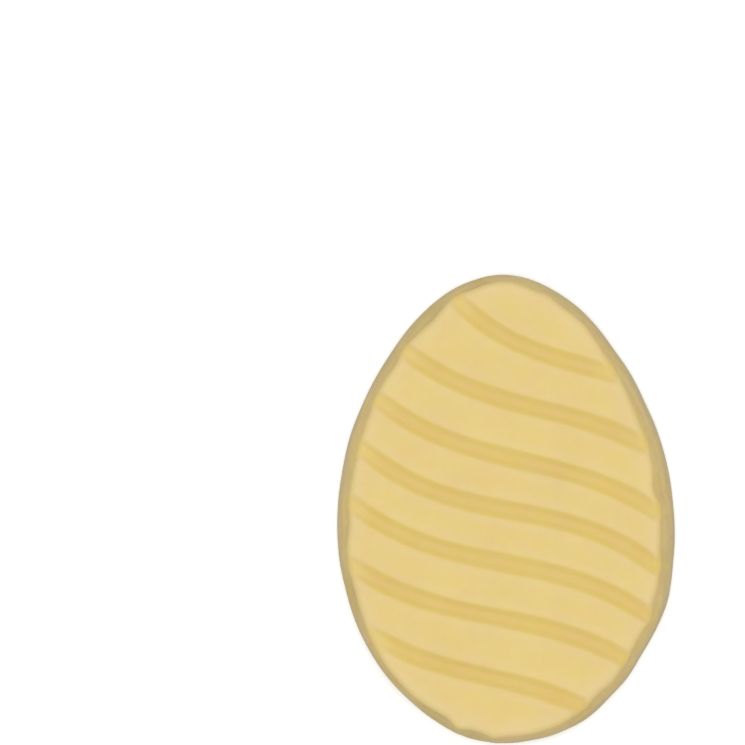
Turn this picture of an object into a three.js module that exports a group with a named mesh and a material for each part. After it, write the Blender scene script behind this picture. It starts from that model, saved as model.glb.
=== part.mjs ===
// Flat egg-shaped tablet of white chocolate, with wavy grooves slanting across its face.
// Millimetres. +Z is up, +Y points to the narrow end, and the origin is the middle of the flat back.
// The face's lands and grooves are rows of points that end on the face's uneven edge, and the side
// wall goes down from those same ends, so that every groove runs out through the rim.

import * as THREE from 'three';

// Size of the tablet, with the width taken across the middle of its length
const LENGTH = 65;
const MIDDLE_WIDTH = 46.7;
const THICKNESS = 6;

// Egg form: how much the narrow half loses to the blunt half, and how much both ends are pinched
const TAPER = 0.094;
const PINCH = 0.075;

// Side wall: how far the face's edge lies inside the back's edge at the sides and at the ends,
// the radii that round the two edges, and how far the slope between them bulges
const SIDE_LEAN = 2.78;
const END_LEAN = 2.18;
const BACK_ROUNDING = 0.5;
const FACE_ROUNDING = 1.05;
const BELLY = 0.2;

// Groove section: half its width at the face and at its floor, and its depth, which fades over the
// run-out to the depths of the groove's own two ends
const GROOVE_TOP_HALF = 1.5;
const GROOVE_FLOOR_HALF = 0.35;
const GROOVE_DEPTH = 0.56;
const GROOVE_RUN_OUT = 3;

// Each groove: where it crosses the long axis, where along the width it runs flattest,
// its fall there in mm per mm, how fast it steepens either side in mm per cubic centimetre,
// and the depths of its left and right ends
const GROOVES = [
  { crossing: 24.2, flattest: 11.7, fall: 0.3, bend: 0.82, leftDepth: 0.45, rightDepth: 0.5 },
  { crossing: 15.2, flattest: 5.8, fall: 0.275, bend: 0.52, leftDepth: 0.45, rightDepth: 0.5 },
  { crossing: 7.3, flattest: 3.2, fall: 0.26, bend: 0.46, leftDepth: 0.45, rightDepth: 0.55 },
  { crossing: 0, flattest: 1.4, fall: 0.21, bend: 0.53, leftDepth: 0.45, rightDepth: 0.56 },
  { crossing: -7.4, flattest: 0.1, fall: 0.215, bend: 0.45, leftDepth: 0.45, rightDepth: 0.56 },
  { crossing: -15.1, flattest: -1.2, fall: 0.22, bend: 0.4, leftDepth: 0.42, rightDepth: 0.56 },
  { crossing: -23.6, flattest: -2.6, fall: 0.25, bend: 0.51, leftDepth: 0.35, rightDepth: 0.56 },
];

// Unevenness of the two edges. Each entry is the direction in degrees from +X, the half width of
// the swelling in degrees, and how far it stands out in mm, which is negative for a dent.
const BACK_EDGE_SWELLINGS = [
  [0, 9, -0.08],
  [26, 6, -0.1],
  [42, 6, -0.1],
  [57, 12, 0.14],
  [100, 9, -0.1],
  [138, 10, -0.09],
  [161, 9, 0.13],
  [200, 8, -0.1],
  [236, 13, -0.13],
  [256, 10, 0.13],
  [277, 9, -0.14],
  [296, 7, 0.15],
  [307, 6, -0.12],
  [320, 7, -0.18],
  [336, 10, 0.33],
];
const FACE_EDGE_SWELLINGS = [
  [5, 5, -0.65],
  [32, 7, 0.13],
  [52, 13, 0.48],
  [67, 6, 0.3],
  [85, 7, 0.12],
  [102, 12, -0.35],
  [122, 12, -0.76],
  [139, 7, -0.38],
  [165, 20, -0.12],
  [182, 6, -0.3],
  [192, 7, 0.21],
  [221, 20, 0.3],
  [246, 11, -0.38],
  [252, 4, 0.71],
  [259, 13, -0.16],
  [265, 4, 0.43],
  [289, 7, 0.2],
  [305, 4, -0.28],
  [311, 8, 0.21],
  [330, 5, 0.53],
  [339, 9, 0.37],
];

// Fineness of the facets: along and across a groove, along a land's edge and round each end of
// the egg, and up the side wall on its two rounded edges and the slope between them
const GROOVE_STEPS = 30;
const GROOVE_WALL_STEPS = 4;
const LAND_EDGE_STEPS = 5;
const END_STEPS = 22;
const BACK_ROUNDING_STEPS = 2;
const SLOPE_STEPS = 3;
const FACE_ROUNDING_STEPS = 4;

const WHITE_CHOCOLATE = 0xddc27b;
const SATIN_ROUGHNESS = 0.45;

// Searches along the edge: the short steps over which a direction is measured, in radians and in mm,
// how often an angle is corrected and a stretch halved, and the share of the width at which a groove
// is outside the face for certain
const ANGLE_STEP = 1e-4;
const PLACE_STEP = 1e-3;
const CORRECTIONS = 30;
const HALVINGS = 40;
const OUTSIDE_SHARE = 0.75;

const MM_PER_CM = 10;
const QUARTER_TURN = Math.PI / 2;
const FULL_TURN = 2 * Math.PI;

// How far an uneven edge stands out in a direction: straight flanks up to each swelling's peak
function swelling(angle, swellings) {
  let out = 0;
  for (const [direction, halfWidth, height] of swellings) {
    const away = THREE.MathUtils.radToDeg(angle) - direction;
    const turn = THREE.MathUtils.euclideanModulo(away + 180, 360) - 180;
    out += height * Math.max(0, 1 - Math.abs(turn) / halfWidth);
  }
  return out;
}

// Point on the smooth egg line at an angle, where sine and cosine stretch to the egg's half sizes
function eggPoint(angle) {
  const s = Math.sin(angle);
  const x = (MIDDLE_WIDTH / 2) * Math.cos(angle) * (1 - TAPER * s - PINCH * s * s);
  return new THREE.Vector2(x, (LENGTH / 2) * s);
}

// Point that lies in from the egg line by a distance, measured square to the line
function insetPoint(angle, inset) {
  const along = eggPoint(angle + ANGLE_STEP).sub(eggPoint(angle - ANGLE_STEP)).normalize();
  return new THREE.Vector2(-along.y, along.x).multiplyScalar(inset).add(eggPoint(angle));
}

// How far in from the egg line the lands end
function landInset(angle) {
  const lean = END_LEAN + (SIDE_LEAN - END_LEAN) * Math.cos(angle) ** 2;
  return lean - swelling(angle, FACE_EDGE_SWELLINGS);
}

// Lean of the side wall's slope from upright, which touches both rounded edges from outside
function wallLean(angle) {
  const run = landInset(angle) - BACK_ROUNDING + swelling(angle, BACK_EDGE_SWELLINGS);
  const rise = THICKNESS - FACE_ROUNDING - BACK_ROUNDING;
  const opening = Math.acos((FACE_ROUNDING - BACK_ROUNDING) / Math.hypot(run, rise));
  return opening - Math.atan2(rise, run);
}

// How far in from the egg line the face ends where it is lower than the lands by a drop: a groove
// cuts the slope lower down, and so ends a little further out
function faceInset(angle, drop) {
  return landInset(angle) - drop * Math.tan(wallLean(angle));
}

// Side wall in one direction, from the back up to the face: a small arc, a bulging slope and a
// larger arc whose top is the face's own edge
function wallColumn({ angle, drop }) {
  const backOut = swelling(angle, BACK_EDGE_SWELLINGS);
  const inset = faceInset(angle, drop);
  const top = THICKNESS - drop;
  const lean = wallLean(angle);
  const backArc = (turn) => ({
    inward: BACK_ROUNDING * (1 - Math.cos(turn)) - backOut,
    height: BACK_ROUNDING * (1 + Math.sin(turn)),
  });
  const faceArc = (turn) => ({
    inward: inset - FACE_ROUNDING * Math.cos(turn),
    height: top - FACE_ROUNDING * (1 - Math.sin(turn)),
  });

  const section = [];
  for (let i = 0; i <= BACK_ROUNDING_STEPS; i += 1) {
    section.push(backArc((i / BACK_ROUNDING_STEPS - 1) * QUARTER_TURN));
  }
  const foot = backArc(lean);
  const head = faceArc(lean);
  section.push(foot);
  for (let i = 1; i < SLOPE_STEPS; i += 1) {
    const share = i / SLOPE_STEPS;
    section.push({
      inward: THREE.MathUtils.lerp(foot.inward, head.inward, share) - BELLY * Math.sin(Math.PI * share),
      height: THREE.MathUtils.lerp(foot.height, head.height, share),
    });
  }
  for (let i = 0; i <= FACE_ROUNDING_STEPS; i += 1) {
    section.push(faceArc(THREE.MathUtils.lerp(lean, QUARTER_TURN, i / FACE_ROUNDING_STEPS)));
  }
  return section.map(({ inward, height }) => {
    const place = insetPoint(angle, inward);
    return new THREE.Vector3(place.x, place.y, height);
  });
}

// Groove section from its upper edge to its lower edge, as side steps from the centre line with
// how sunk each is: a smooth S down, a flat floor and a smooth S up
function grooveSection() {
  const wall = [];
  for (let i = 0; i <= GROOVE_WALL_STEPS; i += 1) {
    const share = i / GROOVE_WALL_STEPS;
    const side = THREE.MathUtils.lerp(GROOVE_TOP_HALF, GROOVE_FLOOR_HALF, share);
    wall.push({ side, sunk: THREE.MathUtils.smoothstep(share, 0, 1) });
  }
  const otherWall = wall.map(({ side, sunk }) => ({ side: -side, sunk })).reverse();
  return [...wall, ...otherWall];
}

// Depth of a groove between its two ends
function grooveDepth(groove, toLeft, toRight) {
  const lackLeft = GROOVE_DEPTH - groove.leftDepth;
  const lackRight = GROOVE_DEPTH - groove.rightDepth;
  const nearLeft = 1 - THREE.MathUtils.smoothstep(toLeft, 0, GROOVE_RUN_OUT);
  const nearRight = 1 - THREE.MathUtils.smoothstep(toRight, 0, GROOVE_RUN_OUT);
  return GROOVE_DEPTH - lackLeft * nearLeft - lackRight * nearRight;
}

// Where a groove's centre line runs along the length, at a place across the width
function grooveLine(groove, x) {
  const here = (x - groove.flattest) / MM_PER_CM;
  const atAxis = -groove.flattest / MM_PER_CM;
  return groove.crossing - groove.fall * x - groove.bend * (here ** 3 - atAxis ** 3);
}

// Point beside a groove's centre line, measured square to it
function besideGroove(groove, x, side) {
  const ahead = grooveLine(groove, x + PLACE_STEP);
  const behind = grooveLine(groove, x - PLACE_STEP);
  const rise = (ahead - behind) / (2 * PLACE_STEP);
  const place = new THREE.Vector2(-rise, 1).normalize().multiplyScalar(side);
  return place.add(new THREE.Vector2(x, grooveLine(groove, x)));
}

// Angle at which the face's edge lies in the same direction from the centre as a point does
function edgeAngle(point, drop) {
  let angle = point.angle();
  for (let i = 0; i < CORRECTIONS; i += 1) {
    const edge = insetPoint(angle, faceInset(angle, drop));
    angle += Math.atan2(edge.cross(point), edge.dot(point));
  }
  return angle;
}

// Where a groove's line leaves the face, to the right for way 1 and to the left for way -1, found
// by halving the stretch between a place inside and a place outside
function grooveEnd(groove, { side, sunk }, way) {
  const drop = sunk * (way > 0 ? groove.rightDepth : groove.leftDepth);
  let inside = 0;
  let outside = MIDDLE_WIDTH * OUTSIDE_SHARE * way;
  let angle = 0;
  for (let i = 0; i < HALVINGS; i += 1) {
    const middle = (inside + outside) / 2;
    const point = besideGroove(groove, middle, side);
    angle = edgeAngle(point, drop);
    if (point.length() < insetPoint(angle, faceInset(angle, drop)).length()) {
      inside = middle;
    } else {
      outside = middle;
    }
  }
  return { x: inside, angle: THREE.MathUtils.euclideanModulo(angle, FULL_TURN), drop };
}

// Ends on the face's edge that share out the stretch between two others, without those two
function endsBetween(from, to, steps) {
  const turn = THREE.MathUtils.euclideanModulo(to.angle - from.angle, FULL_TURN);
  const ends = [];
  for (let i = 1; i < steps; i += 1) {
    ends.push({ angle: from.angle + (turn * i) / steps, drop: 0 });
  }
  return ends;
}

// Closed solid of the whole tablet
function tabletGeometry() {
  const positions = [];
  const faces = [];
  const section = grooveSection();
  // Adds a point and gives its number
  const addPoint = (x, y, z) => {
    positions.push(x, y, z);
    return positions.length / 3 - 1;
  };

  // Lines of all grooves from the narrow end to the blunt end, with both ends of each
  const lines = GROOVES.flatMap((groove) => section.map((row) => ({
    groove,
    row,
    left: grooveEnd(groove, row, -1),
    right: grooveEnd(groove, row, 1),
  })));
  const isLandBelow = (i) => (i + 1) % section.length === 0 && i + 1 < lines.length;

  // All ends in order round the edge, anticlockwise from the narrow end's right
  const first = lines[0];
  const last = lines[lines.length - 1];
  const ends = [first.right, ...endsBetween(first.right, first.left, END_STEPS)];
  lines.forEach((line, i) => {
    ends.push(line.left);
    if (isLandBelow(i)) {
      ends.push(...endsBetween(line.left, lines[i + 1].left, LAND_EDGE_STEPS));
    }
  });
  ends.push(...endsBetween(last.left, last.right, END_STEPS));
  for (let i = lines.length - 1; i > 0; i -= 1) {
    ends.push(lines[i].right);
    if (isLandBelow(i - 1)) {
      ends.push(...endsBetween(lines[i].right, lines[i - 1].right, LAND_EDGE_STEPS));
    }
  }

  // Side wall between neighbouring columns, and the flat back as a fan
  const columns = ends.map((end) => wallColumn(end).map(({ x, y, z }) => addPoint(x, y, z)));
  const hub = addPoint(0, 0, 0);
  columns.forEach((column, i) => {
    const next = columns[(i + 1) % columns.length];
    faces.push(hub, next[0], column[0]);
    for (let level = 0; level + 1 < column.length; level += 1) {
      faces.push(column[level], next[level], next[level + 1]);
      faces.push(column[level], next[level + 1], column[level + 1]);
    }
  });
  const edge = columns.map((column) => column[column.length - 1]);
  const edgeOf = new Map(ends.map((end, i) => [end, i]));

  // Rows of points along the groove lines, which share their first and last point with the wall
  const rows = lines.map(({ groove, row, left, right }) => {
    const points = [edge[edgeOf.get(left)]];
    for (let i = 1; i < GROOVE_STEPS; i += 1) {
      const x = THREE.MathUtils.lerp(left.x, right.x, i / GROOVE_STEPS);
      const place = besideGroove(groove, x, row.side);
      const depth = grooveDepth(groove, x - left.x, right.x - x);
      points.push(addPoint(place.x, place.y, THICKNESS - depth * row.sunk));
    }
    points.push(edge[edgeOf.get(right)]);
    return points;
  });

  // Edge points from one end to another, anticlockwise, without the two ends themselves
  const edgeBetween = (from, to) => {
    const points = [];
    for (let i = (edgeOf.get(from) + 1) % edge.length; i !== edgeOf.get(to); i = (i + 1) % edge.length) {
      points.push(edge[i]);
    }
    return points;
  };
  // Flat stretch of the face inside an anticlockwise loop of points
  const addLand = (loop) => {
    const outline = loop.map((i) => new THREE.Vector2(positions[3 * i], positions[3 * i + 1]));
    for (const [a, b, c] of THREE.ShapeUtils.triangulateShape(outline, [])) {
      faces.push(loop[a], loop[b], loop[c]);
    }
  };

  addLand([...rows[0], ...edgeBetween(first.right, first.left)]);
  for (let i = 0; i + 1 < rows.length; i += 1) {
    const upper = rows[i];
    const lower = rows[i + 1];
    if (isLandBelow(i)) {
      const rightEdge = edgeBetween(lines[i + 1].right, lines[i].right);
      const leftEdge = edgeBetween(lines[i].left, lines[i + 1].left);
      addLand([...lower, ...rightEdge, ...[...upper].reverse(), ...leftEdge]);
    } else {
      for (let j = 0; j < GROOVE_STEPS; j += 1) {
        faces.push(lower[j], lower[j + 1], upper[j + 1]);
        faces.push(lower[j], upper[j + 1], upper[j]);
      }
    }
  }
  addLand([...[...rows[rows.length - 1]].reverse(), ...edgeBetween(last.left, last.right)]);

  const geometry = new THREE.BufferGeometry();
  geometry.setAttribute('position', new THREE.Float32BufferAttribute(positions, 3));
  geometry.setIndex(faces);
  geometry.computeVertexNormals();
  return geometry;
}

const material = new THREE.MeshStandardMaterial({
  color: WHITE_CHOCOLATE,
  roughness: SATIN_ROUGHNESS,
  metalness: 0,
});
const tablet = new THREE.Mesh(tabletGeometry(), material);
tablet.name = 'chocolate_egg';

const part = new THREE.Group();
part.add(tablet);

export default part;
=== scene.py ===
"""Flat egg-shaped tablet of white chocolate, lying on its back on a pale studio floor.

The tablet's surface is one closed skin. Its face is a grid of rows that run with the wavy
grooves from the left edge to the right edge, its side wall goes down from the same edge, and
its back is a set of rings that shrink to the middle. Sizes are in millimetres until a mesh is
made, +Y points to the narrow end and +Z out of the grooved face.
"""

import logging
import math
from dataclasses import dataclass
from enum import Enum

import bpy
import numpy as np
from mathutils import Matrix, Vector


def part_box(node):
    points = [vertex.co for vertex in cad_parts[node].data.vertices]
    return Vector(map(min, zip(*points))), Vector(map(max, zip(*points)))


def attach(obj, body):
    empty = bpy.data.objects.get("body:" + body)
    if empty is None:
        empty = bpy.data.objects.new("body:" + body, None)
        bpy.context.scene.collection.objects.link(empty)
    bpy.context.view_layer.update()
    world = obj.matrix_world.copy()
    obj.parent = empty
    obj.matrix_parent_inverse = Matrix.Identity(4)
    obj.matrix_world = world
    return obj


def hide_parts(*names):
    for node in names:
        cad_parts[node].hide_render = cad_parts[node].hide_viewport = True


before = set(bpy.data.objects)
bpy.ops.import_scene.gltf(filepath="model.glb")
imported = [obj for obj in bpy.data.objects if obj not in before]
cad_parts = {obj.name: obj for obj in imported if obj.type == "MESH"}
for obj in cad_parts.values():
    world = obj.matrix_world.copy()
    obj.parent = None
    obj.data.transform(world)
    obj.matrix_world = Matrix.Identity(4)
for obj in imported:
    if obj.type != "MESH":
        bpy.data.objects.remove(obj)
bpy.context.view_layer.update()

log = logging.getLogger("tablet")

MM = 0.001
MM_PER_CM = 10.0
NODE = "chocolate_egg"
FULL_TURN = 2 * math.pi
WHITE = (1.0, 1.0, 1.0, 1.0)

# Height of the tablet's lands in mm
THICKNESS = 6.0

# Short steps over which a direction is measured, in radians and in mm
ANGLE_STEP = 1e-4
PLACE_STEP = 1e-3

# Swellings and dents of the two edges: the direction in degrees from +X, the half width in
# degrees, and the height in mm, negative for a dent
BACK_EDGE_SWELLINGS = (
    (0, 9, -0.08),
    (26, 6, -0.1),
    (42, 6, -0.1),
    (57, 12, 0.14),
    (100, 9, -0.1),
    (138, 10, -0.09),
    (161, 9, 0.13),
    (200, 8, -0.1),
    (236, 13, -0.13),
    (256, 10, 0.13),
    (277, 9, -0.14),
    (296, 7, 0.15),
    (307, 6, -0.12),
    (320, 7, -0.18),
    (336, 10, 0.33),
)
FACE_EDGE_SWELLINGS = (
    (5, 5, -0.65),
    (32, 7, 0.13),
    (52, 13, 0.48),
    (67, 6, 0.3),
    (85, 7, 0.12),
    (102, 12, -0.35),
    (122, 12, -0.76),
    (139, 7, -0.38),
    (165, 20, -0.12),
    (182, 6, -0.3),
    (192, 7, 0.21),
    (221, 20, 0.3),
    (246, 11, -0.38),
    (252, 4, 0.71),
    (259, 13, -0.16),
    (265, 4, 0.43),
    (289, 7, 0.2),
    (305, 4, -0.28),
    (311, 8, 0.21),
    (330, 5, 0.53),
    (339, 9, 0.37),
)

# Hollows under the shoulder, where the wall stands steeper and carries painted shade: the
# direction in degrees from +X, the half width in degrees, and the share of the lean that is lost,
# which also sets how strong the painted shade is
WALL_HOLLOWS_AND_SHADE = (
    (4, 7, 0.4),
    (58, 8, 0.2),
    (98, 8, 0.95),
    (121, 12, 0.6),
    (141, 7, 0.35),
    (186, 8, 0.2),
    (201, 7, 0.95),
    (226, 8, 0.4),
    (243, 8, 1.0),
    (258, 7, 0.75),
    (296, 6, 0.5),
    (347, 8, 0.3),
)


class Way(Enum):
    """Side of the tablet at which a groove leaves the face."""

    LEFT = -1
    RIGHT = 1


class Mask(Enum):
    """Value that every vertex carries for the finish."""

    GROOVE = "groove"
    RIM = "rim"
    # Painted highlight: paler, greyer edges of the lands and top of the shoulder
    CREST_HIGHLIGHT = "crest_highlight"
    # Painted shade, darker and bluer, at the foot of the side wall
    FOOT_SHADE = "foot_shade"
    # Painted shade under the shoulder, where the wall is steeper
    PAINTED_SHADE = "hollow"
    BACK = "back"


@dataclass(frozen=True)
class SlowWaves:
    """Smooth unevenness: a sum of plane cosine waves of about one length, in seeded directions.

    The value at a place is the mean of cos(k · place + phase) over the waves, times the height.
    Each wave is the length times a share of its own.
    """

    length: float
    height: float
    seed: int
    count: int = 9
    shortest: float = 0.7
    longest: float = 1.5

    def at(self, x: np.ndarray, y: np.ndarray) -> np.ndarray:
        """Unevenness at places of a plane.

        Args:
            x: Places along the first axis, in mm.
            y: Places along the second axis, in mm, of the same shape.

        Returns:
            Height at each place in mm, within the waves' height.
        """
        draw = np.random.default_rng(self.seed)
        turn = draw.uniform(0, FULL_TURN, self.count)
        phase = draw.uniform(0, FULL_TURN, self.count)
        pace = FULL_TURN / (self.length * draw.uniform(self.shortest, self.longest, self.count))
        run = x[..., None] * np.cos(turn) + y[..., None] * np.sin(turn)
        return self.height * np.cos(run * pace + phase).mean(axis=-1)


@dataclass(frozen=True)
class UnevenEdge:
    """Swellings and dents along an edge: each a hat with straight flanks and a rounded peak."""

    swellings: tuple
    softness: float = 1.2

    def out(self, angle: np.ndarray) -> np.ndarray:
        """How far the edge stands out.

        A hat's height times 1 - turn / half width, but at least nothing, as the mean of three
        hats a softness apart, which rounds its corners.

        Args:
            angle: Directions in radians.

        Returns:
            Distance in mm for each direction.
        """
        direction, half_width, height = np.array(self.swellings, float).T
        shift = self.softness * np.array([-1.0, 0.0, 1.0])
        away = np.degrees(angle)[..., None, None] - direction[:, None] + shift
        turn = np.abs((away + 180) % 360 - 180)
        hats = np.maximum(0, 1 - turn / half_width[:, None]).mean(axis=-1)
        return (hats * height).sum(axis=-1)


@dataclass(frozen=True)
class EggLine:
    """Smooth outline of an egg, an ellipse whose width shrinks towards its ends."""

    length: float = 65.0
    middle_width: float = 46.7
    taper: float = 0.094
    pinch: float = 0.075

    def points(self, angle: np.ndarray) -> np.ndarray:
        """Points on the line.

        x is half the width times cos t times (1 - taper sin t - pinch sin² t), and y is half
        the length times sin t.

        Args:
            angle: Angles t in radians.

        Returns:
            Places in mm, with x and y along the last axis.
        """
        sine = np.sin(angle)
        narrowing = 1 - self.taper * sine - self.pinch * sine**2
        x = self.middle_width / 2 * np.cos(angle) * narrowing
        return np.stack([x, self.length / 2 * sine], axis=-1)

    def inward(self, angle: np.ndarray) -> np.ndarray:
        """Unit steps square to the line, towards its inside.

        Args:
            angle: Angles in radians.

        Returns:
            Steps with x and y along the last axis.
        """
        along = self.points(angle + ANGLE_STEP) - self.points(angle - ANGLE_STEP)
        along /= np.linalg.norm(along, axis=-1, keepdims=True)
        return np.stack([-along[..., 1], along[..., 0]], axis=-1)

    def inset(self, angle: np.ndarray, inset: np.ndarray) -> np.ndarray:
        """Points that lie in from the line, measured square to it.

        Args:
            angle: Angles in radians.
            inset: Distances in mm.

        Returns:
            Places in mm, with x and y along the last axis.
        """
        return self.points(angle) + self.inward(angle) * np.asarray(inset)[..., None]


@dataclass(frozen=True)
class GrooveSection:
    """Section of a groove: a flat floor between two smooth S-shaped walls."""

    top_half: float = 1.5
    floor_half: float = 0.35
    depth: float = 0.56
    run_out: float = 3.0
    wall_steps: int = 11
    floor_steps: int = 2

    def rows(self) -> tuple[np.ndarray, np.ndarray]:
        """Rows of the section from its upper edge to its lower edge.

        A wall's share s of the way down sinks by s² (3 - 2 s).

        Returns:
            Side steps from the centre line in mm, and how sunk each is from 0 to 1.
        """
        share = np.linspace(0, 1, self.wall_steps + 1)
        side = self.top_half + share * (self.floor_half - self.top_half)
        sunk = share**2 * (3 - 2 * share)
        floor = np.linspace(self.floor_half, -self.floor_half, self.floor_steps + 1)[1:-1]
        sides = np.concatenate([side, floor, -side[::-1]])
        sunks = np.concatenate([sunk, np.ones_like(floor), sunk[::-1]])
        return sides, sunks

    def lack(self, end_depth: np.ndarray, to_end: np.ndarray) -> np.ndarray:
        """How much of its depth a groove lacks near an end.

        The lack at the end itself shrinks by 1 - share² (3 - 2 share) of the run-out.

        Args:
            end_depth: Depths at the end in mm.
            to_end: Distances to the end in mm.

        Returns:
            Missing depths in mm.
        """
        share = np.clip(to_end / self.run_out, 0, 1)
        return (self.depth - end_depth) * (1 - share**2 * (3 - 2 * share))


@dataclass(frozen=True)
class GrooveLines:
    """Centre lines of the grooves, in order from the narrow end.

    Each line has the place where it crosses the long axis, the place across the width where it
    runs flattest, its fall there in mm per mm, its bend in mm per cubic centimetre, and the depths
    of its groove's left and right ends in mm.
    """

    lines: tuple = (
        (24.2, 11.7, 0.3, 0.82, 0.45, 0.5),
        (15.2, 5.8, 0.275, 0.52, 0.45, 0.5),
        (7.3, 3.2, 0.26, 0.46, 0.45, 0.55),
        (0.0, 1.4, 0.21, 0.53, 0.45, 0.56),
        (-7.4, 0.1, 0.215, 0.45, 0.45, 0.56),
        (-15.1, -1.2, 0.22, 0.4, 0.42, 0.56),
        (-23.6, -2.6, 0.25, 0.51, 0.35, 0.56),
    )

    def end_depth(self, groove: np.ndarray, way: Way) -> np.ndarray:
        """Depths of grooves at one of their ends, in mm."""
        column = 4 if way is Way.LEFT else 5
        return np.array(self.lines)[groove, column]

    def height(self, groove: np.ndarray, x: np.ndarray) -> np.ndarray:
        """Place of centre lines along the length.

        y is crossing - fall x - bend (((x - flattest) / 10)³ + (flattest / 10)³).

        Args:
            groove: Numbers of the lines.
            x: Places across the width in mm, which broadcast with the numbers.

        Returns:
            Places along the length in mm.
        """
        crossing, flattest, fall, bend = np.array(self.lines).T[:4, groove]
        curl = ((x - flattest) / MM_PER_CM) ** 3 + (flattest / MM_PER_CM) ** 3
        return crossing - fall * x - bend * curl

    def rise(self, groove: np.ndarray, x: np.ndarray) -> np.ndarray:
        """Slope of centre lines across the width, in mm per mm."""
        ahead, behind = self.height(groove, x + PLACE_STEP), self.height(groove, x - PLACE_STEP)
        return (ahead - behind) / (2 * PLACE_STEP)

    def beside(self, groove: np.ndarray, x: np.ndarray, side: np.ndarray) -> np.ndarray:
        """Points beside centre lines, measured square to them.

        Args:
            groove: Numbers of the lines.
            x: Places across the width in mm.
            side: Side steps in mm, positive towards the narrow end.

        Returns:
            Places in mm, with x and y along the last axis.
        """
        rise = self.rise(groove, x)
        length = np.sqrt(1 + rise**2)
        y = self.height(groove, x)
        return np.stack([x - rise / length * side, y + side / length], axis=-1)

    def away(self, point: np.ndarray) -> np.ndarray:
        """Distance from points to the nearest centre line, measured square to it.

        Args:
            point: Places in mm, with x and y along the last axis.

        Returns:
            Distances in mm.
        """
        groove = np.arange(len(self.lines)).reshape(-1, *[1] * (point.ndim - 1))
        x = point[None, ..., 0]
        gap = np.abs(point[None, ..., 1] - self.height(groove, x))
        return (gap / np.sqrt(1 + self.rise(groove, x) ** 2)).min(axis=0)


@dataclass(frozen=True)
class SideWall:
    """Side wall that leans in from the back's edge and turns into the face by a soft shoulder.

    Its section is a small arc, a slope and a large arc, each tangent to the next. A groove's
    floor cuts the same slope lower down, and so ends a little further out. The girth radius turns
    directions into millimetres along the wall for its waves, and the climb stretch makes the
    waves longer round the wall than up it.
    """

    side_lean: float = 2.78
    end_lean: float = 2.18
    thickness: float = THICKNESS
    back_rounding: float = 0.5
    shoulder: float = 1.05
    belly: float = 0.2
    back_steps: int = 7
    slope_steps: int = 12
    shoulder_steps: int = 11
    back_edge: UnevenEdge = UnevenEdge(BACK_EDGE_SWELLINGS)
    face_edge: UnevenEdge = UnevenEdge(FACE_EDGE_SWELLINGS)
    # Hollows that steepen the wall and place the painted shade under the shoulder
    hollows_and_shade: UnevenEdge = UnevenEdge(WALL_HOLLOWS_AND_SHADE, softness=3.0)
    waves: SlowWaves = SlowWaves(length=7.0, height=0.17, seed=5)
    dimples: SlowWaves = SlowWaves(length=2.3, height=0.07, seed=9)
    girth_radius: float = 22.0
    climb_stretch: float = 3.0

    def land_inset(self, angle: np.ndarray) -> np.ndarray:
        """How far in from the egg line the lands end."""
        lean = self.end_lean + (self.side_lean - self.end_lean) * np.cos(angle) ** 2
        return lean - self.face_edge.out(angle)

    def slope(self, angle: np.ndarray) -> np.ndarray:
        """Lean of the slope from upright.

        The slope touches both arcs from outside. With the arcs' middles a run and a rise apart,
        it is arccos((shoulder - back rounding) / their distance) - arctan(rise / run).

        Args:
            angle: Directions in radians.

        Returns:
            Angles in radians.
        """
        run = self.land_inset(angle) - self.back_rounding + self.back_edge.out(angle)
        rise = self.thickness - self.shoulder - self.back_rounding
        reach = np.hypot(run, rise)
        return np.arccos((self.shoulder - self.back_rounding) / reach) - np.arctan2(rise, run)

    def face_inset(self, angle: np.ndarray, drop: np.ndarray) -> np.ndarray:
        """How far in from the egg line the face ends.

        Args:
            angle: Directions in radians.
            drop: How much lower than the lands the face ends, in mm.

        Returns:
            Distances in mm.
        """
        return self.land_inset(angle) - drop * np.tan(self.slope(angle))

    def profile(self, angle: np.ndarray, drop: np.ndarray) -> tuple[np.ndarray, np.ndarray]:
        """Insets and heights of the wall from the back up to the face.

        Both arcs are circles. The shoulder's arc starts at the slope's lean less what a hollow
        takes of it, and the slope is pushed in by sag s² (1 - s), s its share climbed, with the
        sag that makes it meet the arc without a bend. Waves and the belly are added times
        sin(pi s).

        Args:
            angle: Directions in radians, one for each column.
            drop: How much lower than the lands the face ends in each column, in mm.

        Returns:
            Insets and heights in mm, columns by levels.
        """
        lean = self.slope(angle)[:, None]
        back_turn = np.linspace(0, 1, self.back_steps + 1) * (math.pi / 2 + lean) - math.pi / 2
        back_inset = self.back_rounding * (1 - np.cos(back_turn))
        back_inset -= self.back_edge.out(angle)[:, None]
        back_height = self.back_rounding * (1 + np.sin(back_turn))

        top = self.thickness - drop[:, None]
        share = np.linspace(0, 1, self.shoulder_steps + 1)
        steep = lean * (1 - self.hollows_and_shade.out(angle)[:, None])
        face_turn = steep + (math.pi / 2 - steep) * share
        face_inset = self.face_inset(angle, drop)[:, None] - self.shoulder * np.cos(face_turn)
        face_height = top - self.shoulder * (1 - np.sin(face_turn))

        share = np.linspace(0, 1, self.slope_steps + 1)[1:-1]
        run = face_inset[:, :1] - back_inset[:, -1:]
        rise = face_height[:, :1] - back_height[:, -1:]
        sag = run - rise * np.tan(steep)
        slope_inset = back_inset[:, -1:] + run * share + sag * share**2 * (1 - share)
        slope_height = back_height[:, -1:] + rise * share
        around = np.broadcast_to(self.girth_radius * angle[:, None], slope_height.shape)
        push = self.waves.at(around, self.climb_stretch * slope_height)
        push += self.dimples.at(around, slope_height) - self.belly
        slope_inset = slope_inset + push * np.sin(math.pi * share)
        insets = np.concatenate([back_inset, slope_inset, face_inset], axis=1)
        heights = np.concatenate([back_height, slope_height, face_height], axis=1)
        return insets, heights


@dataclass(frozen=True)
class Skin:
    """Closed skin of the tablet: its vertices in mm, its triangles and its masks."""

    points: np.ndarray
    triangles: np.ndarray
    masks: dict


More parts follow.
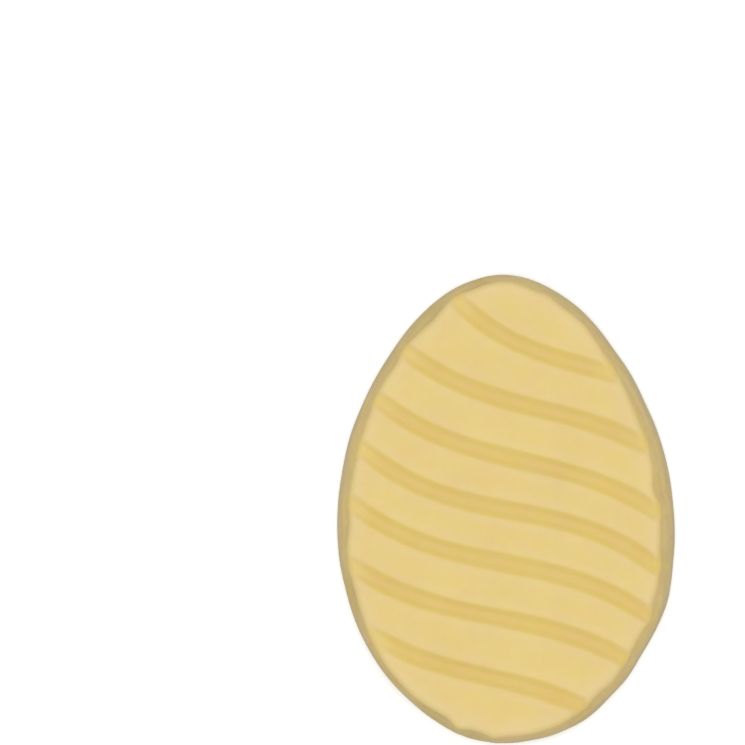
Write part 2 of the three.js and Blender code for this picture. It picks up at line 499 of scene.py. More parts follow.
@dataclass(frozen=True)
class Face:
    """Face of the tablet as a grid of rows from the narrow end to the blunt end."""

    grid: np.ndarray
    index: np.ndarray
    ring_angle: np.ndarray
    ring_drop: np.ndarray
    ring_index: np.ndarray


@dataclass
class EggTablet:
    """The whole tablet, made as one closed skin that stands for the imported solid.

    The search fields say how often an edge's angle is corrected and a stretch halved, and at which
    share of the width a groove is outside the face for certain. The groove gap keeps the waves of
    one groove's width apart from the next one's.
    """

    thickness: float = THICKNESS
    columns: int = 180
    land_steps: int = 13
    cap_steps: int = 32
    back_rings: int = 14
    # Widths of the painted highlight along the face's edge and beside the grooves, and its share
    # beside the grooves
    rim_crest: float = 1.4
    groove_crest: float = 0.5
    groove_crest_share: float = 0.6
    corrections: int = 30
    quick_corrections: int = 5
    halvings: int = 40
    outside_share: float = 0.75
    groove_gap: float = 40.0
    lift_reach: float = 1.25
    outline: EggLine = EggLine()
    section: GrooveSection = GrooveSection()
    grooves: GrooveLines = GrooveLines()
    wall: SideWall = SideWall()
    face_waves: SlowWaves = SlowWaves(length=15.0, height=0.05, seed=11)
    width_waves: SlowWaves = SlowWaves(length=11.0, height=0.12, seed=23)
    back_waves: SlowWaves = SlowWaves(length=13.0, height=0.16, seed=31)

    def edge_points(self, angle: np.ndarray, drop: np.ndarray) -> np.ndarray:
        """Points on the face's edge.

        Args:
            angle: Directions in radians.
            drop: How much lower than the lands the edge is, in mm.

        Returns:
            Places in mm, with x and y along the last axis.
        """
        return self.outline.inset(angle, self.wall.face_inset(angle, drop))

    def edge_angle(self, point: np.ndarray, drop: np.ndarray, turns: int) -> np.ndarray:
        """Angles at which the face's edge lies in the same direction as points do.

        The angle is turned by what is left between the edge's direction and the point's, again
        and again, until both agree.

        Args:
            point: Places in mm, with x and y along the last axis.
            drop: How much lower than the lands the edge is at each, in mm.
            turns: How often the angle is corrected.

        Returns:
            Angles in radians.
        """
        angle = np.arctan2(point[..., 1], point[..., 0])
        for _ in range(turns):
            edge = self.edge_points(angle, drop)
            cross = edge[..., 0] * point[..., 1] - edge[..., 1] * point[..., 0]
            angle = angle + np.arctan2(cross, (edge * point).sum(axis=-1))
        return angle

    def groove_ends(
        self, groove: np.ndarray, side: np.ndarray, drop: np.ndarray, way: Way
    ) -> tuple[np.ndarray, np.ndarray]:
        """Where rows of grooves leave the face, by halving a stretch that crosses its edge.

        Args:
            groove: Number of each row's groove.
            side: Side step of each row in mm.
            drop: How much lower than the lands each row ends, in mm.
            way: Side of the tablet.

        Returns:
            Places across the width in mm, and the edge's angles in radians.
        """
        inside = np.zeros(len(groove))
        outside = np.full(len(groove), self.outside_share * self.outline.middle_width * way.value)
        angle = np.zeros(len(groove))
        for _ in range(self.halvings):
            middle = (inside + outside) / 2
            point = self.grooves.beside(groove, middle, side)
            angle = self.edge_angle(point, drop, self.corrections)
            reach = np.linalg.norm(self.edge_points(angle, drop), axis=-1)
            within = np.linalg.norm(point, axis=-1) < reach
            inside = np.where(within, middle, inside)
            outside = np.where(within, outside, middle)
        turned = angle if way is Way.RIGHT else np.mod(angle, FULL_TURN)
        return inside, turned

    def groove_rows(self) -> tuple[np.ndarray, np.ndarray, np.ndarray]:
        """Rows of points along every groove, from its left end to its right end.

        A row lies a side step from its groove's centre line, and the step swells and shrinks
        a little along the way, but not at the ends.

        Returns:
            Places (grooves, rows, columns + 1, 3), and the edge's angles at the left and right
            ends (grooves, rows).
        """
        side, sunk = self.section.rows()
        count = len(self.grooves.lines)
        groove = np.repeat(np.arange(count), len(side))
        sides, sunks = np.tile(side, count), np.tile(sunk, count)
        left_depth = self.grooves.end_depth(groove, Way.LEFT)
        right_depth = self.grooves.end_depth(groove, Way.RIGHT)
        left_x, left_angle = self.groove_ends(groove, sides, left_depth * sunks, Way.LEFT)
        right_x, right_angle = self.groove_ends(groove, sides, right_depth * sunks, Way.RIGHT)
        share = np.linspace(0, 1, self.columns + 1)
        x = left_x[:, None] + (right_x - left_x)[:, None] * share
        fade = np.sin(math.pi * share)
        row_place = self.groove_gap * groove[:, None] + np.sign(sides)[:, None]
        swell = 1 + fade * self.width_waves.at(x, row_place)
        rows = self.grooves.beside(groove[:, None], x, sides[:, None] * swell)
        rows[:, 0] = self.edge_points(left_angle, left_depth * sunks)
        rows[:, -1] = self.edge_points(right_angle, right_depth * sunks)
        depth = self.section.depth - self.section.lack(left_depth[:, None], x - x[:, :1])
        depth -= self.section.lack(right_depth[:, None], x[:, -1:] - x)
        height = self.thickness - depth * sunks[:, None]
        shape = (count, len(side))
        return (
            np.concatenate([rows, height[..., None]], axis=-1).reshape(*shape, -1, 3),
            left_angle.reshape(shape),
            right_angle.reshape(shape),
        )

    def land_rows(
        self, upper: np.ndarray, lower: np.ndarray, left: np.ndarray, right: np.ndarray
    ) -> np.ndarray:
        """Rows of points on a land between the edges of two grooves.

        A row is a mix of the two edges, moved so that its ends lie on the face's edge: the
        move at each end fades linearly towards the other.

        Args:
            upper: Row of the upper groove's lower edge, with x and y alone.
            lower: Row of the lower groove's upper edge, with x and y alone.
            left: Edge angles of the new rows' left ends.
            right: Edge angles of the new rows' right ends.

        Returns:
            Places (rows, columns + 1, 2) without the two given rows.
        """
        mix = np.linspace(0, 1, self.land_steps + 1)[1:-1, None, None]
        rows = (1 - mix) * upper + mix * lower
        flat = np.zeros_like(left)
        share = np.linspace(0, 1, self.columns + 1)[None, :, None]
        left_move = self.edge_points(left, flat)[:, None] - rows[:, :1]
        right_move = self.edge_points(right, flat)[:, None] - rows[:, -1:]
        return rows + (1 - share) * left_move + share * right_move

    def cap_rows(self, row: np.ndarray, left: float, right: float) -> tuple[np.ndarray, np.ndarray]:
        """Rows of points between an end of the egg and the groove next to it.

        A row is a mix of the face's edge round the end and the groove's edge, which share
        their first and last points.

        Args:
            row: Row of the groove's outer edge, with x and y alone.
            left: Edge angle at its left end.
            right: Edge angle at its right end, reached from the left one round the egg's end.

        Returns:
            Places (rows, columns + 1, 2) from the face's edge to the groove, without the
            groove's row, and the angles of the edge's points.
        """
        angle = np.linspace(left, right, self.columns + 1)
        arc = self.edge_points(angle, np.zeros_like(angle))
        mix = np.linspace(0, 1, self.cap_steps + 1)[:-1, None, None]
        return (1 - mix) * arc + mix * row, angle

    def face(self) -> Face:
        """The face as one grid, with the closed ring of its edge.

        Returns:
            The grid's places and vertex numbers, and the ring anticlockwise from the right
            end of the first groove's upper edge.
        """
        rows, left, right = self.groove_rows()
        narrow, narrow_angle = self.cap_rows(rows[0, 0, :, :2], left[0, 0], right[0, 0])
        turned = right[-1, -1] + FULL_TURN
        blunt, blunt_angle = self.cap_rows(rows[-1, -1, :, :2], left[-1, -1], turned)
        mix = np.linspace(0, 1, self.land_steps + 1)[1:-1]
        parts, lefts, rights = [self.level(narrow)], [], []
        for g in range(len(rows)):
            parts.append(rows[g])
            lefts.append(left[g])
            rights.append(right[g])
            if g + 1 < len(rows):
                land_left = left[g, -1] + (left[g + 1, 0] - left[g, -1]) * mix
                land_right = right[g, -1] + (right[g + 1, 0] - right[g, -1]) * mix
                upper, lower = rows[g, -1, :, :2], rows[g + 1, 0, :, :2]
                parts.append(self.level(self.land_rows(upper, lower, land_left, land_right)))
                lefts.append(land_left)
                rights.append(land_right)
        parts.append(self.level(blunt[::-1]))
        grid = np.concatenate(parts)

        index = np.arange(grid.shape[0] * grid.shape[1]).reshape(grid.shape[:2])
        first, last = len(narrow), grid.shape[0] - len(blunt) - 1
        index[:first, 0], index[:first, -1] = index[first, 0], index[first, -1]
        index[last + 1 :, 0], index[last + 1 :, -1] = index[last, 0], index[last, -1]

        side_left, side_right = np.concatenate(lefts), np.concatenate(rights)
        ring_angle = [narrow_angle[-2:0:-1], side_left, blunt_angle[1:-1], side_right[::-1]]
        ring_index = [
            index[0, -2:0:-1],
            index[first : last + 1, 0],
            index[-1, 1:-1],
            index[first : last + 1, -1][::-1],
        ]
        ring_index = np.concatenate(ring_index)
        ring_drop = self.thickness - grid.reshape(-1, 3)[ring_index, 2]
        return Face(grid, index, np.concatenate(ring_angle), ring_drop, ring_index)

    def level(self, flat: np.ndarray) -> np.ndarray:
        """Points at the lands' height, from places with x and y alone."""
        return np.concatenate([flat, np.full_like(flat[..., :1], self.thickness)], axis=-1)

    def skin(self) -> Skin:
        """The closed skin: face, side wall and back, which share their edges' vertices.

        Returns:
            Vertices, triangles that face outwards, and masks for the finish.
        """
        face = self.face()
        insets, heights = self.wall.profile(face.ring_angle, face.ring_drop)
        flat = self.outline.inset(face.ring_angle[:, None], insets)
        wall = np.concatenate([flat, heights[..., None]], axis=-1)[:, :-1]
        share = np.linspace(1, 0, self.back_rings + 1)[1:-1]
        back = wall[None, :, 0] * share[:, None, None]
        face_points = face.grid.reshape(-1, 3)
        middle = np.zeros((1, 3))
        parts = (face_points, wall.reshape(-1, 3), back.reshape(-1, 3), middle)
        points = np.concatenate(parts)

        wall_index = len(face_points) + np.arange(wall.shape[0] * wall.shape[1])
        wall_index = wall_index.reshape(wall.shape[:2])
        columns = np.concatenate([wall_index, face.ring_index[:, None]], axis=1)
        back_index = len(face_points) + wall.shape[0] * wall.shape[1]
        rings = back_index + np.arange(back.shape[0] * back.shape[1]).reshape(back.shape[:2])
        rings = np.concatenate([wall_index[None, :, 0], rings])
        hub = np.full_like(rings[-1:], len(points) - 1)
        triangles = np.concatenate(
            [
                self.grid_triangles(face.index[::-1]),
                self.grid_triangles(np.concatenate([columns, columns[:1]]).T),
                self.grid_triangles(np.concatenate([rings, hub])[::-1][:, self.closed(rings)]),
            ]
        )
        return self.tidy(points, triangles, self.masks(face, columns, points))

    @staticmethod
    def closed(rings: np.ndarray) -> np.ndarray:
        """Column numbers of closed rings, with the first once more at the end."""
        return np.append(np.arange(rings.shape[1]), 0)

    @staticmethod
    def grid_triangles(index: np.ndarray) -> np.ndarray:
        """Two triangles for every cell of a grid of vertex numbers.

        A cell of the rows below and above turns anticlockwise from its lower left corner.

        Args:
            index: Vertex numbers, rows from below to above, columns from left to right.

        Returns:
            Vertex numbers of the triangles.
        """
        a, b = index[:-1, :-1], index[:-1, 1:]
        c, d = index[1:, 1:], index[1:, :-1]
        lower = np.stack([a, b, c], axis=-1).reshape(-1, 3)
        upper = np.stack([a, c, d], axis=-1).reshape(-1, 3)
        return np.concatenate([lower, upper])

    def masks(self, face: Face, columns: np.ndarray, points: np.ndarray) -> dict:
        """Masks for the finish.

        The groove mask is how deep a place lies below the lands. Over the lower two thirds of
        the shoulder it and the crest mask, which lays a painted highlight, fade while the rim mask
        grows from 0 to 1. The foot mask, which lays painted shade at the wall's foot, grows from
        there as the square of the way to the lower arc, and the back mask from there to 1 on the
        back, where it ends the rim mask. The hollow mask, which lays painted shade under the
        shoulder, is the rim mask times the share of the lean that a hollow takes. On the face the
        crest mask is exp(-(distance / width)²), from the face's edge or from a line one width
        outside a groove.

        Args:
            face: The face's grid.
            columns: Vertex numbers of the wall, columns by levels.
            points: All vertices in mm.

        Returns:
            One array for each mask.
        """
        groove, rim, crest_highlight, foot_shade, hollow, back = (np.zeros(len(points)) for _ in Mask)
        wall = self.wall
        step = np.arange(columns.shape[1])[::-1]
        third = wall.shoulder_steps / 3
        lower = np.clip((step - third) / (2 * third), 0, 1)
        back[face.grid[..., 0].size :] = 1
        back[columns] = np.clip(1 + (step - step[0]) / wall.back_steps, 0, 1)
        rim[columns] = lower * (1 - back[columns])
        # Painted shade that grows towards the foot of the wall
        foot_shade[columns] = np.clip((step - wall.shoulder_steps) / wall.slope_steps, 0, 1) ** 2
        # Painted shade under the shoulder, as strong as the hollow there
        hollow[columns] = rim[columns] * wall.hollows_and_shade.out(face.ring_angle)[:, None]
        sunk = (self.thickness - face.grid[..., 2]) / self.section.depth
        ring_sunk = face.ring_drop[:, None] / self.section.depth
        groove[face.index] = sunk
        groove[columns] = ring_sunk * (1 - lower)

        flat = face.grid[..., :2]
        angle = self.edge_angle(flat, np.zeros(flat.shape[:-1]), self.quick_corrections)
        edge = self.edge_points(angle, np.zeros_like(angle))
        inside = np.linalg.norm(edge, axis=-1) - np.linalg.norm(flat, axis=-1)
        beside = self.grooves.away(flat) - self.section.top_half - self.groove_crest
        along_rim = np.exp(-((inside / self.rim_crest) ** 2))
        along_groove = np.exp(-((beside / self.groove_crest) ** 2))
        along_groove *= self.groove_crest_share
        # Painted highlight along the face's edge, beside the grooves and on the shoulder's top
        # third
        crest_highlight[face.index] = np.maximum(along_rim, along_groove) * (1 - sunk)
        crest_highlight[columns] = (1 - ring_sunk) * (1 - lower)
        return dict(zip(Mask, (groove, rim, crest_highlight, foot_shade, hollow, back)))

    def tidy(self, points: np.ndarray, triangles: np.ndarray, masks: dict) -> Skin:
        """Drops triangles without a third corner and vertices without a triangle, and adds the
        slow unevenness of the face and the back.

        Args:
            points: Vertices in mm.
            triangles: Vertex numbers.
            masks: One array for each mask.

        Returns:
            The finished skin.
        """
        a, b, c = triangles.T
        triangles = triangles[(a != b) & (b != c) & (c != a)]
        used, triangles = np.unique(triangles, return_inverse=True)
        points = points[used]
        high = np.clip(points[:, 2] / self.thickness, 0, 1) ** 2
        low = np.clip(1 - points[:, 2] / self.wall.back_rounding, 0, 1)
        reach = np.linalg.norm(points[:, :2], axis=1) / (self.outline.middle_width / 2)
        hollow = np.clip(self.lift_reach - reach**2, 0, 1)
        points[:, 2] += high * self.face_waves.at(points[:, 0], points[:, 1])
        lift = self.back_waves.height + self.back_waves.at(points[:, 0], points[:, 1])
        points[:, 2] += low * hollow * lift
        return Skin(points, triangles.reshape(-1, 3), {k: v[used] for k, v in masks.items()})

    def build(self) -> bpy.types.Object:
        """Makes the tablet's object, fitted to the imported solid's box.

        Returns:
            The object, at the origin, with its place in its mesh.
        """
        skin = self.skin()
        low, high = (np.array(corner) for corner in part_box(NODE))
        lowest, highest = skin.points.min(axis=0), skin.points.max(axis=0)
        points = low + (skin.points - lowest) * (high - low) / (highest - lowest)
        mesh = mesh_of("white_chocolate_tablet", points, skin.triangles)
        for mask, values in skin.masks.items():
            attribute = mesh.attributes.new(mask.value, "FLOAT", "POINT")
            attribute.data.foreach_set("value", values.astype(np.float32))
        tablet = bpy.data.objects.new("white_chocolate_tablet", mesh)
        bpy.context.scene.collection.objects.link(tablet)
        return tablet

    def dress(self, tablet: bpy.types.Object) -> None:
        """Gives the tablet its finish and its place in the frame.

        Args:
            tablet: The object from build.
        """
        tablet.data.materials.append(WhiteChocolate().material())
        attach(tablet, "root")
        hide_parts(NODE)


def mesh_of(name: str, points: np.ndarray, triangles: np.ndarray) -> bpy.types.Mesh:
    """A smooth-shaded mesh from arrays.

    Args:
        name: Name of the mesh.
        points: Vertices in metres.
        triangles: Vertex numbers, three for each triangle.

    Returns:
        The mesh.
    """
    mesh = bpy.data.meshes.new(name)
    mesh.vertices.add(len(points))
    mesh.vertices.foreach_set("co", points.astype(np.float32).ravel())
    mesh.loops.add(triangles.size)
    mesh.loops.foreach_set("vertex_index", triangles.astype(np.int32).ravel())
    mesh.polygons.add(len(triangles))
    mesh.polygons.foreach_set("loop_start", np.arange(0, triangles.size, 3, dtype=np.int32))
    mesh.polygons.foreach_set("loop_total", np.full(len(triangles), 3, dtype=np.int32))
    mesh.polygons.foreach_set("use_smooth", np.ones(len(triangles), dtype=bool))
    mesh.update(calc_edges=True)
    mesh.validate()
    return mesh


@dataclass
class NodeBench:
    """Short hand for adding nodes to a tree and linking them."""

    tree: bpy.types.NodeTree

    def add(self, kind: str, **settings: object) -> bpy.types.Node:
        """Adds a node and sets its properties."""
        node = self.tree.nodes.new(kind)
        for name, value in settings.items():
            setattr(node, name, value)
        return node

    def feed(self, socket: bpy.types.NodeSocket, value: object) -> None:
        """Links an output to a socket, or sets a plain value on it."""
        if isinstance(value, bpy.types.NodeSocket):
            self.tree.links.new(value, socket)
        else:
            socket.default_value = value

    def math(self, operation: str, *values: object) -> bpy.types.NodeSocket:
        """Output of a Math node on one, two or three values."""
        node = self.add("ShaderNodeMath", operation=operation)
        for socket, value in zip(node.inputs, values):
            self.feed(socket, value)
        return node.outputs[0]

    def mix(self, share: object, first: object, second: object) -> bpy.types.NodeSocket:
        """Output of a colour Mix node, from the first colour to the second."""
        node = self.add("ShaderNodeMix", data_type="RGBA")
        self.feed(node.inputs["Factor"], share)
        self.feed(node.inputs["A"], first)
        self.feed(node.inputs["B"], second)
        return node.outputs["Result"]

    def noise(self, place: object, scale: float, detail: float) -> bpy.types.NodeSocket:
        """Value of a Noise node at a place, about 0.5 on average."""
        node = self.add("ShaderNodeTexNoise")
        self.feed(node.inputs["Vector"], place)
        self.feed(node.inputs["Scale"], scale)
        self.feed(node.inputs["Detail"], detail)
        return node.outputs["Fac"]

    def mask(self, mask: Mask) -> bpy.types.NodeSocket:
        """Value of one of the vertices' masks."""
        node = self.add("ShaderNodeAttribute", attribute_type="GEOMETRY", attribute_name=mask.value)
        return node.outputs["Fac"]


def rgba(colour: tuple) -> tuple:
    """A linear colour with full alpha."""
    return (*colour, 1.0)


@dataclass(frozen=True)
class Drift:
    """How a value wanders: the scale and detail of its noise, its reach, and what the wall adds."""

    scale: float
    reach: float
    on_wall: float = 0.0
    detail: float = 4.0

    def around(
        self, bench: NodeBench, place: object, middle: object, wall: object = 0.0
    ) -> bpy.types.NodeSocket:
        """The wandering value: its middle plus the reach times a noise from -0.5 to 0.5.

        Args:
            bench: Where the nodes go.
            place: Object coordinates.
            middle: Value round which it wanders.
            wall: Mask of the wall.

        Returns:
            The value's socket.
        """
        reach = bench.math("MULTIPLY_ADD", wall, self.on_wall, self.reach)
        shift = bench.math("SUBTRACT", bench.noise(place, self.scale, self.detail), 0.5)
        return bench.math("MULTIPLY_ADD", shift, reach, middle)


@dataclass(frozen=True)
class PouredMarks:
    """Marks of the side that was poured and scraped level: scraping marks and open bubbles."""

    scrape_turn: float = 8.0
    scrape_stretch: float = 0.06
    scrape_scale: float = 900.0
    scrape_detail: float = 3.0
    scrape_height: float = 9.0
    bubble_scale: float = 260.0
    bubble_share: float = 0.38
    bubble_floor: float = 0.06
    bubble_edge: float = 0.12
    bubble_depth: float = 12.0

    def scrapes(self, bench: NodeBench, place: object) -> bpy.types.NodeSocket:
        """Shallow marks that a scraper drew along the length.

        Args:
            bench: Where the nodes go.
            place: Object coordinates.

        Returns:
            A height from 0 to the scrape height.
        """
        stretched = bench.add("ShaderNodeMapping")
        bench.feed(stretched.inputs["Vector"], place)
        stretched.inputs["Rotation"].default_value = (0, 0, math.radians(self.scrape_turn))
        stretched.inputs["Scale"].default_value = (1.0, self.scrape_stretch, 1.0)
        streaks = bench.noise(stretched.outputs["Vector"], self.scrape_scale, self.scrape_detail)
        return bench.math("MULTIPLY", streaks, self.scrape_height)

    def bubbles(self, bench: NodeBench, place: object) -> bpy.types.NodeSocket:
        """Small round pits where air bubbles opened, in a share of a field of cells.

        Args:
            bench: Where the nodes go.
            place: Object coordinates.

        Returns:
            A depth from 0 to the bubble depth.
        """
        cells = bench.add("ShaderNodeTexVoronoi")
        bench.feed(cells.inputs["Vector"], place)
        cells.inputs["Scale"].default_value = self.bubble_scale
        pit = bench.add("ShaderNodeMapRange", interpolation_type="SMOOTHSTEP")
        bench.feed(pit.inputs["Value"], cells.outputs["Distance"])
        pit.inputs["From Min"].default_value = self.bubble_floor
        pit.inputs["From Max"].default_value = self.bubble_edge
        pit.inputs["To Min"].default_value = self.bubble_depth
        pit.inputs["To Max"].default_value = 0.0
        some = bench.math("GREATER_THAN", cells.outputs["Color"], 1 - self.bubble_share)
        return bench.math("MULTIPLY", pit.outputs["Result"], some)


@dataclass(frozen=True)
class WhiteChocolate:
    """Satin ivory-yellow finish, with painted shade that deepens the grooves and the side wall,
    and a painted highlight that makes it paler along the face's edge.

    Colours are linear and noise scales in waves per metre. The relief depth in metres is what a
    relief height of 1 stands for, and the relief share is how much of it is used.
    """

    land: tuple = (0.719, 0.542, 0.195)
    # Painted shade: the grooves are darker and more orange than the lands
    groove: tuple = (0.68, 0.492, 0.146)
    # Painted light: the grooves' walls are lighter and yellower than halfway to the grooves'
    # painted shade
    flank: tuple = (0.706, 0.53, 0.16)
    # Painted shade: the side wall is a little greyer and bluer than the lands
    rim: tuple = (0.722, 0.535, 0.204)
    # Painted highlight: paler and greyer along the face's edge, beside the grooves and on the
    # shoulder's top
    crest_highlight: tuple = (0.717, 0.551, 0.239)
    # Painted shade at the wall's foot, darker and greyer, with painted bounce light making it bluer
    foot_shade: tuple = (0.588, 0.492, 0.28)
    # Painted shade under the shoulder: darker olive-brown
    hollow: tuple = (0.63, 0.467, 0.147)
    back: tuple = (0.735, 0.57, 0.235)
    tone: Drift = Drift(160.0, 0.07)
    speckle: Drift = Drift(1000.0, 0.04, on_wall=0.14)
    broad_hue: Drift = Drift(170.0, 0.012)
    fine_hue: Drift = Drift(560.0, 0.016, on_wall=0.024)
    strength: Drift = Drift(340.0, 0.12, on_wall=0.06)
    gloss: Drift = Drift(260.0, 0.2, detail=2.0)
    grain: Drift = Drift(2600.0, 1.0, detail=2.0)
    swell: Drift = Drift(420.0, 2.0, detail=1.0)
    marks: PouredMarks = PouredMarks()
    relief_share: float = 0.25
    relief_depth: float = 0.00004
    specular: float = 0.3
    roughness: float = 0.45
    subsurface: float = 0.15
    subsurface_depth: float = 0.0006
    subsurface_radius: tuple = (1.0, 0.7, 0.3)

    def material(self) -> bpy.types.Material:
        """Builds the material.

        Returns:
            A material with a Principled shader fed by Object coordinates and masks.
        """
        material = bpy.data.materials.new("white_chocolate")
        material.use_nodes = True
        tree = material.node_tree
        tree.nodes.clear()
        bench = NodeBench(tree)
        place = bench.add("ShaderNodeTexCoord").outputs["Object"]
        shader = bench.add("ShaderNodeBsdfPrincipled")
        output = bench.add("ShaderNodeOutputMaterial")
        tree.links.new(shader.outputs["BSDF"], output.inputs["Surface"])
        bench.feed(shader.inputs["Base Color"], self.colour(bench, place))
        bench.feed(shader.inputs["Roughness"], self.gloss.around(bench, place, self.roughness))
        bench.feed(shader.inputs["Normal"], self.relief(bench, place))
        shader.inputs["Specular IOR Level"].default_value = self.specular
        shader.inputs["Subsurface Weight"].default_value = self.subsurface
        shader.inputs["Subsurface Scale"].default_value = self.subsurface_depth
        shader.inputs["Subsurface Radius"].default_value = self.subsurface_radius
        return material

    def colour(self, bench: NodeBench, place: bpy.types.NodeSocket) -> bpy.types.NodeSocket:
        """Colour of the chocolate, by masks that lay painted shade, painted light and a painted
        highlight, with a tone, hue and saturation that wander a little.

        The flank's share is 4 sunk (1 - sunk), which is most half way down a groove's wall.

        Args:
            bench: Where the nodes go.
            place: Object coordinates.

        Returns:
            The colour's socket.
        """
        rim = bench.mask(Mask.RIM)
        sunk = bench.mask(Mask.GROOVE)
        flank = bench.math("MULTIPLY", bench.math("SUBTRACT", 1.0, sunk), sunk)
        flank = bench.math("MULTIPLY", flank, 4.0)
        # Painted shade in the grooves, eased by painted light on their walls, painted shade on the
        # side wall, at its foot and under the shoulder, and a painted highlight on the crests
        colour = bench.mix(sunk, rgba(self.land), rgba(self.groove))
        colour = bench.mix(flank, colour, rgba(self.flank))
        colour = bench.mix(rim, colour, rgba(self.rim))
        colour = bench.mix(bench.mask(Mask.FOOT_SHADE), colour, rgba(self.foot_shade))
        colour = bench.mix(bench.mask(Mask.PAINTED_SHADE), colour, rgba(self.hollow))
        colour = bench.mix(bench.mask(Mask.CREST_HIGHLIGHT), colour, rgba(self.crest_highlight))
        colour = bench.mix(bench.mask(Mask.BACK), colour, rgba(self.back))
        node = bench.add("ShaderNodeHueSaturation")
        bench.feed(node.inputs["Color"], colour)
        tone = self.tone.around(bench, place, 1.0)
        bench.feed(node.inputs["Value"], self.speckle.around(bench, place, tone, rim))
        hue = self.broad_hue.around(bench, place, 0.5)
        bench.feed(node.inputs["Hue"], self.fine_hue.around(bench, place, hue, rim))
        bench.feed(node.inputs["Saturation"], self.strength.around(bench, place, 1.0, rim))
        return node.outputs["Color"]

    def relief(self, bench: NodeBench, place: bpy.types.NodeSocket) -> bpy.types.NodeSocket:
        """Fine grain under the finger, with scraping marks and small open bubbles on the back.

        Args:
            bench: Where the nodes go.
            place: Object coordinates.

        Returns:
            The normal's socket.
        """
        height = self.grain.around(bench, place, self.swell.around(bench, place, 0.0))
        scrapes, bubbles = self.marks.scrapes(bench, place), self.marks.bubbles(bench, place)
        poured = bench.math("SUBTRACT", scrapes, bubbles)
        height = bench.math("MULTIPLY_ADD", poured, bench.mask(Mask.BACK), height)
        node = bench.add("ShaderNodeBump")
        bench.feed(node.inputs["Height"], height)
        node.inputs["Strength"].default_value = self.relief_share
        node.inputs["Distance"].default_value = self.relief_depth
        return node.outputs["Normal"]


@dataclass(frozen=True)
class StudioFloor:
    """Plain white floor that looks bright but throws only some light back on the tablet."""

    reach: float = 4.0
    drop: float = 0.00001
    colour: tuple = (0.97, 0.97, 0.97)
    bounce: tuple = (0.38, 0.38, 0.38)
    glow: float = 0.12
    roughness: float = 0.9
    specular: float = 0.1

    def build(self) -> None:
        """Makes the floor as a flat square below the tablet."""
        corners = np.array([[-1, -1, 0], [1, -1, 0], [1, 1, 0], [-1, 1, 0]], float) * self.reach
        corners[:, 2] = -self.drop
        mesh = mesh_of("studio_floor", corners, np.array([[0, 1, 2], [0, 2, 3]]))
        material = bpy.data.materials.new("studio_floor")
        material.use_nodes = True
        shader = material.node_tree.nodes["Principled BSDF"]
        bench = NodeBench(material.node_tree)
        seen = bench.add("ShaderNodeLightPath").outputs["Is Camera Ray"]
        colour = bench.mix(seen, rgba(self.bounce), rgba(self.colour))
        bench.feed(shader.inputs["Base Color"], colour)
        shader.inputs["Roughness"].default_value = self.roughness
        shader.inputs["Specular IOR Level"].default_value = self.specular
        shader.inputs["Emission Color"].default_value = WHITE
        shader.inputs["Emission Strength"].default_value = self.glow
        mesh.materials.append(material)
        floor = bpy.data.objects.new("studio_floor", mesh)
        bpy.context.scene.collection.objects.link(floor)


@dataclass(frozen=True)
class StudioLight:
    """One large soft light from above and an even pale surround."""

    side: float = 1.6
    place: tuple = (0.06, 0.05, 1.3)
    power: float = 10.0
    surround: float = 0.7

    def build(self) -> None:
        """Makes the light and the surround, and keeps colours as they are lit."""
        lamp = bpy.data.lights.new("overhead_softbox", "AREA")
        lamp.shape = "SQUARE"
        lamp.size = self.side
        lamp.energy = self.power
        softbox = bpy.data.objects.new("overhead_softbox", lamp)
        softbox.location = self.place
        softbox.rotation_euler = Vector(self.place).to_track_quat("Z", "Y").to_euler()
        bpy.context.scene.collection.objects.link(softbox)
        world = bpy.data.worlds.new("studio_surround")
        world.use_nodes = True
        background = world.node_tree.nodes["Background"]
        background.inputs["Color"].default_value = WHITE
        background.inputs["Strength"].default_value = self.surround
        bpy.context.scene.world = world
        bpy.context.scene.view_settings.view_transform = "Standard"
        bpy.context.scene.view_settings.look = "None"


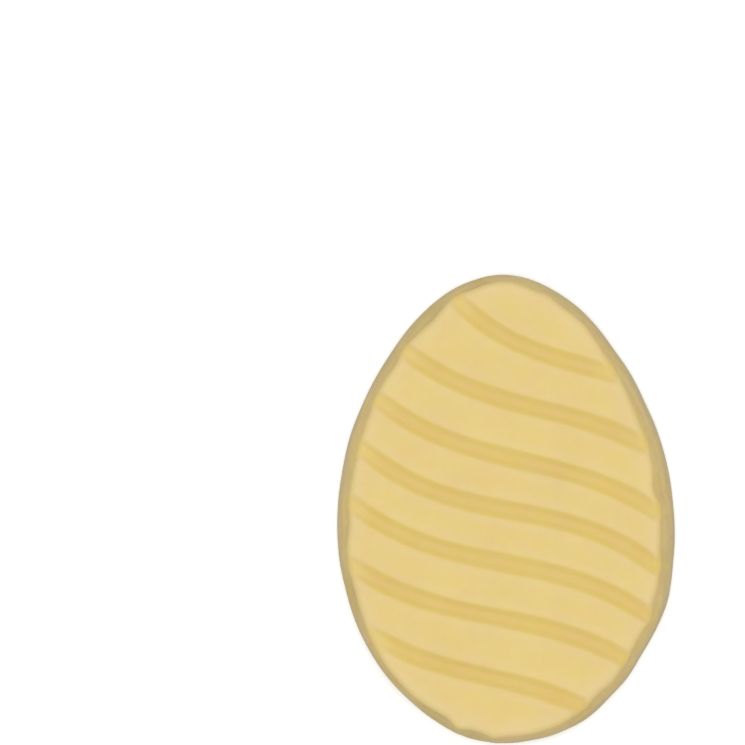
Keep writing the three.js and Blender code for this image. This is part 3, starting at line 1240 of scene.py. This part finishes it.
@dataclass(frozen=True)
class PhotoCamera:
    """Camera at the photograph's viewing angle, from above and a little from the right."""

    image_side: float = 745.0
    centre_pixel: tuple = (505.3, 508.8)
    pixel: float = 0.1389
    distance: float = 506.0
    lean_right: float = 3.3
    lean_up: float = 0.6
    roll: float = 1.27
    sensor: float = 36.0
    nearest: float = 50.0
    farthest: float = 50000.0

    def build(self) -> None:
        """Makes the camera so that the tablet's middle lies on its pixel.

        The direction to the tablet is known in the camera's own axes, from the pixel, and in
        the frame's axes, from the two leans. The camera turns the first onto the second, with
        the tablet's long axis rolled anticlockwise.
        """
        field_width = self.image_side * self.pixel / self.distance
        off = np.array(self.centre_pixel) - self.image_side / 2
        seen = Vector((off[0], -off[1], 0)) / self.image_side * field_width
        seen.z = -1
        tilt_x, tilt_y = math.radians(self.lean_right), math.radians(self.lean_up)
        eye = Vector((math.tan(tilt_x), math.tan(tilt_y), 1)).normalized()
        roll = math.radians(self.roll)
        up = Vector((math.sin(roll), math.cos(roll), 0))
        turn = self.axes(eye, up) @ self.axes(-seen.normalized(), Vector((0, 1, 0))).transposed()
        data = bpy.data.cameras.new("photo_camera")
        data.sensor_width = self.sensor
        data.lens = self.sensor / field_width / seen.length
        camera = bpy.data.objects.new("photo_camera", data)
        camera.matrix_world = Matrix.Translation(eye * self.distance * MM) @ turn.to_4x4()
        data.clip_start, data.clip_end = self.nearest * MM, self.farthest * MM
        bpy.context.scene.collection.objects.link(camera)
        bpy.context.scene.camera = camera

    @staticmethod
    def axes(back: Vector, up: Vector) -> Matrix:
        """Axes with Z along a direction and Y as near as can be to another.

        Args:
            back: Unit direction of Z.
            up: Direction near Y.

        Returns:
            A matrix whose columns are X, Y and Z.
        """
        side = up.cross(back).normalized()
        return Matrix((side, back.cross(side), back)).transposed()


def main() -> None:
    """Builds the studio and the tablet, and reports each piece."""
    logging.basicConfig(level=logging.INFO, format="%(name)s: %(message)s")
    PhotoCamera().build()
    StudioLight().build()
    StudioFloor().build()
    maker = EggTablet()
    tablet = maker.build()
    maker.dress(tablet)
    log.info("%s: %d triangles", tablet.name, len(tablet.data.polygons))


if __name__ == "__main__":
    main()
